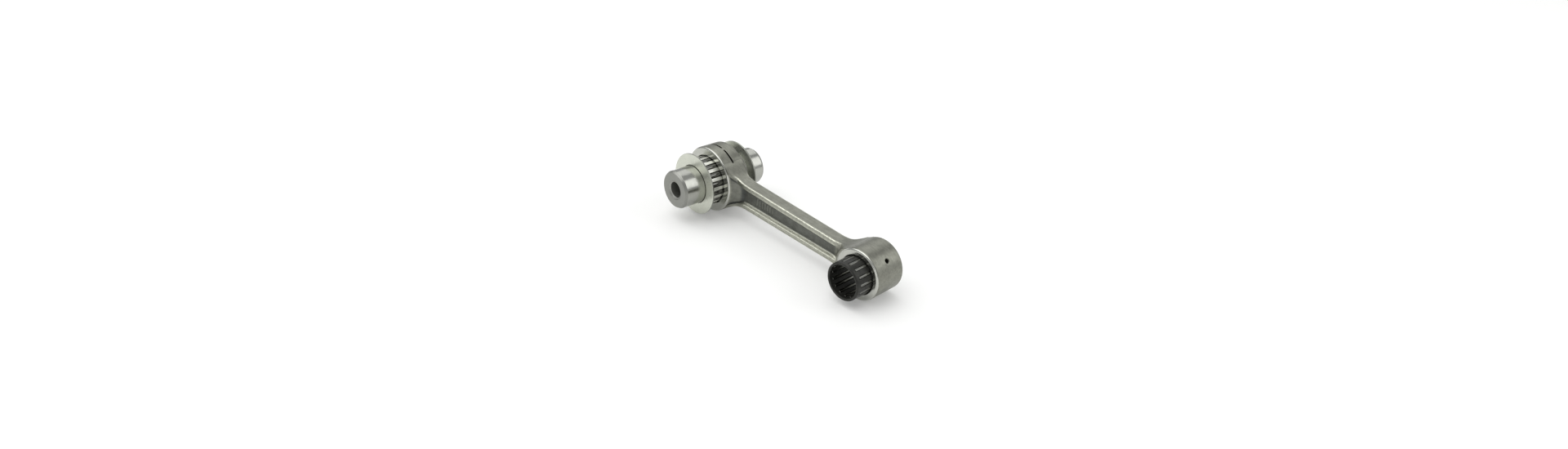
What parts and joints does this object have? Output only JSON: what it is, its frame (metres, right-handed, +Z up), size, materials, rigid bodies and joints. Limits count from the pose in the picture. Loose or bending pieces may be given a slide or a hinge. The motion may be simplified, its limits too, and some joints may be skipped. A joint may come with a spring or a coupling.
{
  "type": "connecting rod",
  "caption": "Forged I-beam connecting rod with hollow crank pin, thrust washers and caged needle bearings at both eyes, laid out part-assembled.",
  "frame": {"origin": "on the crank pin's axis, at the mid-plane of the rod", "axes": "+X from the big eye to the small eye, +Y along the crank pin, +Z up"},
  "size_m": [0.1658, 0.063, 0.042],
  "materials": {
    "forged_rod": "blasted forging, ground faces",
    "ground_pin": "ground and polished",
    "thrust_washers": "satin",
    "silver_cage": "silver plated satin",
    "black_cage": "black phosphate",
    "needle_rollers": "polished"
  },
  "bodies": {
    "rod": {"connecting_rod": "forged_rod"},
    "crank_pin": {"crank_pin": "ground_pin"},
    "near_thrust_washer": {"near_thrust_washer": "thrust_washers"},
    "far_thrust_washer": {"far_thrust_washer": "thrust_washers"},
    "big_end_cage": {"big_end_cage": "silver_cage"},
    "small_end_cage": {"small_end_cage": "black_cage"},
    "big_end_roller_01": {"big_end_roller_01": "needle_rollers"},
    "big_end_roller_02": {"big_end_roller_02": "needle_rollers"},
    "big_end_roller_03": {"big_end_roller_03": "needle_rollers"},
    "big_end_roller_04": {"big_end_roller_04": "needle_rollers"},
    "big_end_roller_05": {"big_end_roller_05": "needle_rollers"},
    "big_end_roller_06": {"big_end_roller_06": "needle_rollers"},
    "big_end_roller_07": {"big_end_roller_07": "needle_rollers"},
    "big_end_roller_08": {"big_end_roller_08": "needle_rollers"},
    "big_end_roller_09": {"big_end_roller_09": "needle_rollers"},
    "big_end_roller_10": {"big_end_roller_10": "needle_rollers"},
    "big_end_roller_11": {"big_end_roller_11": "needle_rollers"},
    "big_end_roller_12": {"big_end_roller_12": "needle_rollers"},
    "big_end_roller_13": {"big_end_roller_13": "needle_rollers"},
    "big_end_roller_14": {"big_end_roller_14": "needle_rollers"},
    "big_end_roller_15": {"big_end_roller_15": "needle_rollers"},
    "big_end_roller_16": {"big_end_roller_16": "needle_rollers"},
    "small_end_roller_01": {"small_end_roller_01": "needle_rollers"},
    "small_end_roller_02": {"small_end_roller_02": "needle_rollers"},
    "small_end_roller_03": {"small_end_roller_03": "needle_rollers"},
    "small_end_roller_04": {"small_end_roller_04": "needle_rollers"},
    "small_end_roller_05": {"small_end_roller_05": "needle_rollers"},
    "small_end_roller_06": {"small_end_roller_06": "needle_rollers"},
    "small_end_roller_07": {"small_end_roller_07": "needle_rollers"},
    "small_end_roller_08": {"small_end_roller_08": "needle_rollers"},
    "small_end_roller_09": {"small_end_roller_09": "needle_rollers"},
    "small_end_roller_10": {"small_end_roller_10": "needle_rollers"},
    "small_end_roller_11": {"small_end_roller_11": "needle_rollers"},
    "small_end_roller_12": {"small_end_roller_12": "needle_rollers"},
    "small_end_roller_13": {"small_end_roller_13": "needle_rollers"},
    "small_end_roller_14": {"small_end_roller_14": "needle_rollers"},
    "small_end_roller_15": {"small_end_roller_15": "needle_rollers"}
  },
  "joints": [
    {"name": "crank_pin_turn", "type": "hinge", "parent": "rod", "child": "crank_pin", "pos_m": [0, 0, 0], "axis": [0, 1, 0], "continuous": true},
    {"name": "big_end_cage_turn", "type": "hinge", "parent": "rod", "child": "big_end_cage", "pos_m": [0, -0.0101, 0], "axis": [0, 1, 0], "continuous": true},
    {"name": "near_washer_slide", "type": "slide", "parent": "crank_pin", "child": "near_thrust_washer", "axis": [0, 1, 0], "range_m": [-0.0128, 0]},
    {"name": "far_washer_slide", "type": "slide", "parent": "crank_pin", "child": "far_thrust_washer", "axis": [0, 1, 0], "range_m": [-0.0064, 0.0117]},
    {"name": "small_end_cage_slide", "type": "slide", "parent": "rod", "child": "small_end_cage", "axis": [0, 1, 0], "range_m": [-0.012, 0.0094]},
    {"name": "big_end_roller_01_spin", "type": "hinge", "parent": "big_end_cage", "child": "big_end_roller_01", "pos_m": [0.01323, -0.0101, 0.00373], "axis": [0, 1, 0], "continuous": true},
    {"name": "big_end_roller_02_spin", "type": "hinge", "parent": "big_end_cage", "child": "big_end_roller_02", "pos_m": [0.0108, -0.0101, 0.00851], "axis": [0, 1, 0], "continuous": true},
    {"name": "big_end_roller_03_spin", "type": "hinge", "parent": "big_end_cage", "child": "big_end_roller_03", "pos_m": [0.00672, -0.0101, 0.012], "axis": [0, 1, 0], "continuous": true},
    {"name": "big_end_roller_04_spin", "type": "hinge", "parent": "big_end_cage", "child": "big_end_roller_04", "pos_m": [0.00162, -0.0101, 0.01365], "axis": [0, 1, 0], "continuous": true},
    {"name": "big_end_roller_05_spin", "type": "hinge", "parent": "big_end_cage", "child": "big_end_roller_05", "pos_m": [-0.00373, -0.0101, 0.01323], "axis": [0, 1, 0], "continuous": true},
    {"name": "big_end_roller_06_spin", "type": "hinge", "parent": "big_end_cage", "child": "big_end_roller_06", "pos_m": [-0.00851, -0.0101, 0.0108], "axis": [0, 1, 0], "continuous": true},
    {"name": "big_end_roller_07_spin", "type": "hinge", "parent": "big_end_cage", "child": "big_end_roller_07", "pos_m": [-0.012, -0.0101, 0.00672], "axis": [0, 1, 0], "continuous": true},
    {"name": "big_end_roller_08_spin", "type": "hinge", "parent": "big_end_cage", "child": "big_end_roller_08", "pos_m": [-0.01365, -0.0101, 0.00162], "axis": [0, 1, 0], "continuous": true},
    {"name": "big_end_roller_09_spin", "type": "hinge", "parent": "big_end_cage", "child": "big_end_roller_09", "pos_m": [-0.01323, -0.0101, -0.00373], "axis": [0, 1, 0], "continuous": true},
    {"name": "big_end_roller_10_spin", "type": "hinge", "parent": "big_end_cage", "child": "big_end_roller_10", "pos_m": [-0.0108, -0.0101, -0.00851], "axis": [0, 1, 0], "continuous": true},
    {"name": "big_end_roller_11_spin", "type": "hinge", "parent": "big_end_cage", "child": "big_end_roller_11", "pos_m": [-0.00672, -0.0101, -0.012], "axis": [0, 1, 0], "continuous": true},
    {"name": "big_end_roller_12_spin", "type": "hinge", "parent": "big_end_cage", "child": "big_end_roller_12", "pos_m": [-0.00162, -0.0101, -0.01365], "axis": [0, 1, 0], "continuous": true},
    {"name": "big_end_roller_13_spin", "type": "hinge", "parent": "big_end_cage", "child": "big_end_roller_13", "pos_m": [0.00373, -0.0101, -0.01323], "axis": [0, 1, 0], "continuous": true},
    {"name": "big_end_roller_14_spin", "type": "hinge", "parent": "big_end_cage", "child": "big_end_roller_14", "pos_m": [0.00851, -0.0101, -0.0108], "axis": [0, 1, 0], "continuous": true},
    {"name": "big_end_roller_15_spin", "type": "hinge", "parent": "big_end_cage", "child": "big_end_roller_15", "pos_m": [0.012, -0.0101, -0.00672], "axis": [0, 1, 0], "continuous": true},
    {"name": "big_end_roller_16_spin", "type": "hinge", "parent": "big_end_cage", "child": "big_end_roller_16", "pos_m": [0.01365, -0.0101, -0.00162], "axis": [0, 1, 0], "continuous": true},
    {"name": "small_end_roller_01_spin", "type": "hinge", "parent": "small_end_cage", "child": "small_end_roller_01", "pos_m": [0.13979, -0.0094, 0.00204], "axis": [0, 1, 0], "continuous": true},
    {"name": "small_end_roller_02_spin", "type": "hinge", "parent": "small_end_cage", "child": "small_end_roller_02", "pos_m": [0.13811, -0.0094, 0.00585], "axis": [0, 1, 0], "continuous": true},
    {"name": "small_end_roller_03_spin", "type": "hinge", "parent": "small_end_cage", "child": "small_end_roller_03", "pos_m": [0.13503, -0.0094, 0.00864], "axis": [0, 1, 0], "continuous": true},
    {"name": "small_end_roller_04_spin", "type": "hinge", "parent": "small_end_cage", "child": "small_end_roller_04", "pos_m": [0.13108, -0.0094, 0.00994], "axis": [0, 1, 0], "continuous": true},
    {"name": "small_end_roller_05_spin", "type": "hinge", "parent": "small_end_cage", "child": "small_end_roller_05", "pos_m": [0.12694, -0.0094, 0.00952], "axis": [0, 1, 0], "continuous": true},
    {"name": "small_end_roller_06_spin", "type": "hinge", "parent": "small_end_cage", "child": "small_end_roller_06", "pos_m": [0.12333, -0.0094, 0.00745], "axis": [0, 1, 0], "continuous": true},
    {"name": "small_end_roller_07_spin", "type": "hinge", "parent": "small_end_cage", "child": "small_end_roller_07", "pos_m": [0.12088, -0.0094, 0.0041], "axis": [0, 1, 0], "continuous": true},
    {"name": "small_end_roller_08_spin", "type": "hinge", "parent": "small_end_cage", "child": "small_end_roller_08", "pos_m": [0.12, -0.0094, 0.00003], "axis": [0, 1, 0], "continuous": true},
    {"name": "small_end_roller_09_spin", "type": "hinge", "parent": "small_end_cage", "child": "small_end_roller_09", "pos_m": [0.12085, -0.0094, -0.00404], "axis": [0, 1, 0], "continuous": true},
    {"name": "small_end_roller_10_spin", "type": "hinge", "parent": "small_end_cage", "child": "small_end_roller_10", "pos_m": [0.12328, -0.0094, -0.00741], "axis": [0, 1, 0], "continuous": true},
    {"name": "small_end_roller_11_spin", "type": "hinge", "parent": "small_end_cage", "child": "small_end_roller_11", "pos_m": [0.12688, -0.0094, -0.0095], "axis": [0, 1, 0], "continuous": true},
    {"name": "small_end_roller_12_spin", "type": "hinge", "parent": "small_end_cage", "child": "small_end_roller_12", "pos_m": [0.13101, -0.0094, -0.00995], "axis": [0, 1, 0], "continuous": true},
    {"name": "small_end_roller_13_spin", "type": "hinge", "parent": "small_end_cage", "child": "small_end_roller_13", "pos_m": [0.13497, -0.0094, -0.00868], "axis": [0, 1, 0], "continuous": true},
    {"name": "small_end_roller_14_spin", "type": "hinge", "parent": "small_end_cage", "child": "small_end_roller_14", "pos_m": [0.13807, -0.0094, -0.00591], "axis": [0, 1, 0], "continuous": true},
    {"name": "small_end_roller_15_spin", "type": "hinge", "parent": "small_end_cage", "child": "small_end_roller_15", "pos_m": [0.13977, -0.0094, -0.00211], "axis": [0, 1, 0], "continuous": true}
  ],
  "couplings": [
    {"joint": "big_end_cage_turn", "follows": "crank_pin_turn", "ratio": 0.43636},
    {"joint": "big_end_roller_01_spin", "follows": "crank_pin_turn", "ratio": -3.8649},
    {"joint": "big_end_roller_02_spin", "follows": "crank_pin_turn", "ratio": -3.8649},
    {"joint": "big_end_roller_03_spin", "follows": "crank_pin_turn", "ratio": -3.8649},
    {"joint": "big_end_roller_04_spin", "follows": "crank_pin_turn", "ratio": -3.8649},
    {"joint": "big_end_roller_05_spin", "follows": "crank_pin_turn", "ratio": -3.8649},
    {"joint": "big_end_roller_06_spin", "follows": "crank_pin_turn", "ratio": -3.8649},
    {"joint": "big_end_roller_07_spin", "follows": "crank_pin_turn", "ratio": -3.8649},
    {"joint": "big_end_roller_08_spin", "follows": "crank_pin_turn", "ratio": -3.8649},
    {"joint": "big_end_roller_09_spin", "follows": "crank_pin_turn", "ratio": -3.8649},
    {"joint": "big_end_roller_10_spin", "follows": "crank_pin_turn", "ratio": -3.8649},
    {"joint": "big_end_roller_11_spin", "follows": "crank_pin_turn", "ratio": -3.8649},
    {"joint": "big_end_roller_12_spin", "follows": "crank_pin_turn", "ratio": -3.8649},
    {"joint": "big_end_roller_13_spin", "follows": "crank_pin_turn", "ratio": -3.8649},
    {"joint": "big_end_roller_14_spin", "follows": "crank_pin_turn", "ratio": -3.8649},
    {"joint": "big_end_roller_15_spin", "follows": "crank_pin_turn", "ratio": -3.8649},
    {"joint": "big_end_roller_16_spin", "follows": "crank_pin_turn", "ratio": -3.8649},
    {"joint": "small_end_roller_02_spin", "follows": "small_end_roller_01_spin", "ratio": 1},
    {"joint": "small_end_roller_03_spin", "follows": "small_end_roller_01_spin", "ratio": 1},
    {"joint": "small_end_roller_04_spin", "follows": "small_end_roller_01_spin", "ratio": 1},
    {"joint": "small_end_roller_05_spin", "follows": "small_end_roller_01_spin", "ratio": 1},
    {"joint": "small_end_roller_06_spin", "follows": "small_end_roller_01_spin", "ratio": 1},
    {"joint": "small_end_roller_07_spin", "follows": "small_end_roller_01_spin", "ratio": 1},
    {"joint": "small_end_roller_08_spin", "follows": "small_end_roller_01_spin", "ratio": 1},
    {"joint": "small_end_roller_09_spin", "follows": "small_end_roller_01_spin", "ratio": 1},
    {"joint": "small_end_roller_10_spin", "follows": "small_end_roller_01_spin", "ratio": 1},
    {"joint": "small_end_roller_11_spin", "follows": "small_end_roller_01_spin", "ratio": 1},
    {"joint": "small_end_roller_12_spin", "follows": "small_end_roller_01_spin", "ratio": 1},
    {"joint": "small_end_roller_13_spin", "follows": "small_end_roller_01_spin", "ratio": 1},
    {"joint": "small_end_roller_14_spin", "follows": "small_end_roller_01_spin", "ratio": 1},
    {"joint": "small_end_roller_15_spin", "follows": "small_end_roller_01_spin", "ratio": 1}
  ]
}
